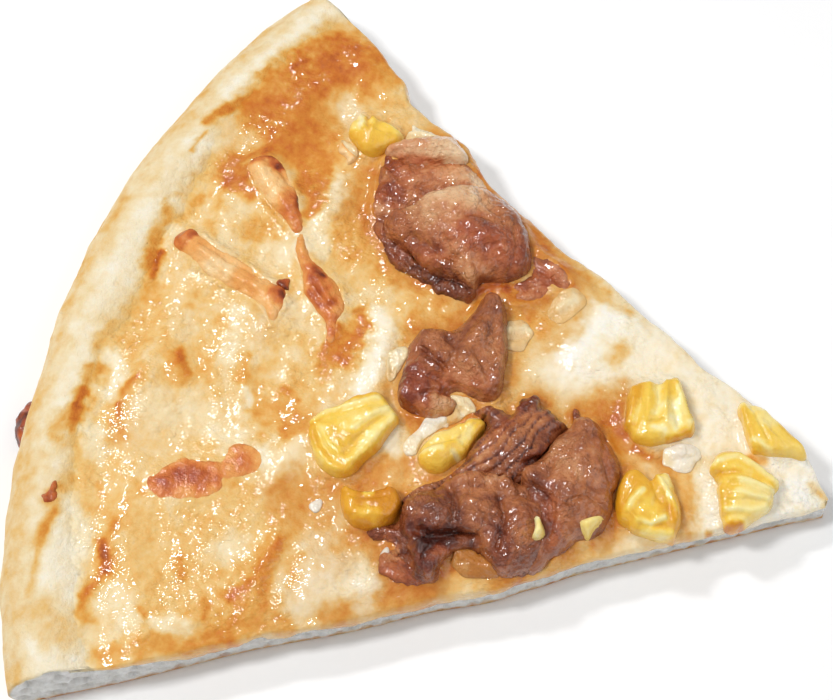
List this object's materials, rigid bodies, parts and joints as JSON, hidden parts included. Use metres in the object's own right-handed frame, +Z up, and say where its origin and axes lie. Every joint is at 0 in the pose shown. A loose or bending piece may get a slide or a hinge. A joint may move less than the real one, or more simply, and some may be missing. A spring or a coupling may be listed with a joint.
{
  "type": "pizza slice",
  "caption": "Wedge of thin pizza with a low crust, melted cheese, glazed chicken, corn kernels and toasted sticks of cheese.",
  "frame": {"origin": "on the flat underside, below the middle of the slice's bounding box", "axes": "+Z up from the surface that the slice lies on, +Y from the tip to the middle of the crust, +X across the slice"},
  "size_m": [0.1023, 0.0988, 0.0125],
  "materials": {
    "dough": "baked dough, dry and matte",
    "cheese": "melted cheese, oily",
    "chicken": "brown glazed meat, wet",
    "toasted_cheese": "toasted cheese, oily",
    "corn": "cooked corn, shiny"
  },
  "bodies": {
    "root": {"dough": "dough", "cheese": "cheese", "chicken_large": "chicken", "chicken_back": "chicken", "chicken_edge": "chicken", "chicken_low": "chicken", "chicken_dark": "chicken", "chicken_fibrous": "chicken", "chicken_lumps": "chicken", "chicken_smooth": "chicken", "cheese_stick_long": "toasted_cheese", "cheese_stick_wide": "toasted_cheese", "cheese_stick_dark": "toasted_cheese", "cheese_blister": "toasted_cheese", "corn_big": "corn", "corn_side": "corn", "corn_split": "corn", "corn_folded": "corn", "corn_round": "corn", "corn_ribbed": "corn", "corn_wedge": "corn", "corn_far": "corn"}
  },
  "joints": []
}
